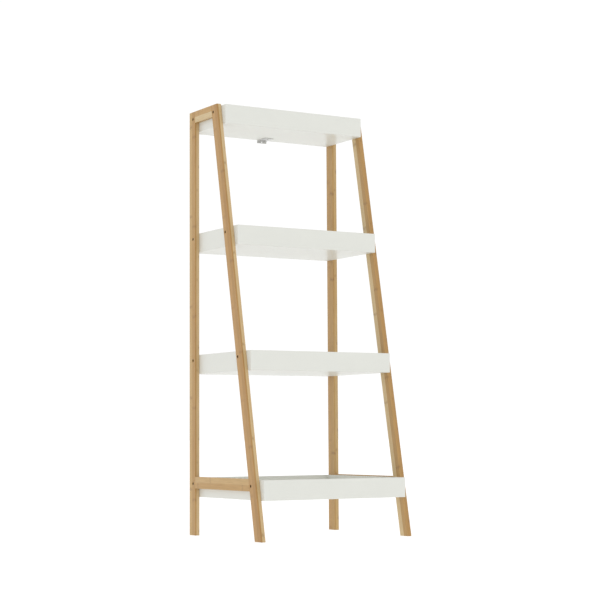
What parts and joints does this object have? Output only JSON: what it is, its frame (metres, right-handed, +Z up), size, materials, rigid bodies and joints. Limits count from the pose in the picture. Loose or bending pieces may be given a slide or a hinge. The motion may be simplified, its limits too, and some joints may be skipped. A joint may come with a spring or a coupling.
{
  "type": "ladder shelf",
  "caption": "Leaning ladder shelf: bamboo side frames with upright rear posts and slanted front legs carry open-top white trays that grow deeper towards the floor.",
  "frame": {"origin": "centre of the footprint on the floor", "axes": "+X to the right seen from the front, -Y to the front, +Z up; the wall plane is at the greatest Y"},
  "size_m": [0.554, 0.476, 1.4],
  "materials": {
    "bamboo": "satin varnish on edge-laminated bamboo strips",
    "white_lacquer": "white satin lacquer on fibreboard",
    "beech": "raw fluted dowel wood",
    "bolt_steel": "dark oxide on turned steel",
    "insert_metal": "turned, threaded",
    "zinc_steel": "bright zinc plate on pressed steel"
  },
  "bodies": {
    "root": {"left_rear_post": "bamboo", "left_front_leg": "bamboo", "left_top_rail": "bamboo", "left_bottom_rail": "bamboo", "left_frame_dowels": "beech", "left_tray_bolts": "bolt_steel", "left_tray_inserts": "insert_metal", "right_rear_post": "bamboo", "right_front_leg": "bamboo", "right_top_rail": "bamboo", "right_bottom_rail": "bamboo", "right_frame_dowels": "beech", "right_tray_bolts": "bolt_steel", "right_tray_inserts": "insert_metal", "tray_1_front_board": "white_lacquer", "tray_1_rear_board": "white_lacquer", "tray_1_left_board": "white_lacquer", "tray_1_right_board": "white_lacquer", "tray_1_floor_panel": "white_lacquer", "tray_1_dowels": "beech", "tray_2_front_board": "white_lacquer", "tray_2_rear_board": "white_lacquer", "tray_2_left_board": "white_lacquer", "tray_2_right_board": "white_lacquer", "tray_2_floor_panel": "white_lacquer", "tray_2_dowels": "beech", "tray_3_front_board": "white_lacquer", "tray_3_rear_board": "white_lacquer", "tray_3_left_board": "white_lacquer", "tray_3_right_board": "white_lacquer", "tray_3_floor_panel": "white_lacquer", "tray_3_dowels": "beech", "tray_4_front_board": "white_lacquer", "tray_4_rear_board": "white_lacquer", "tray_4_left_board": "white_lacquer", "tray_4_right_board": "white_lacquer", "tray_4_floor_panel": "white_lacquer", "tray_4_dowels": "beech", "wall_bracket": "zinc_steel", "wall_bracket_screws": "zinc_steel"}
  },
  "joints": []
}
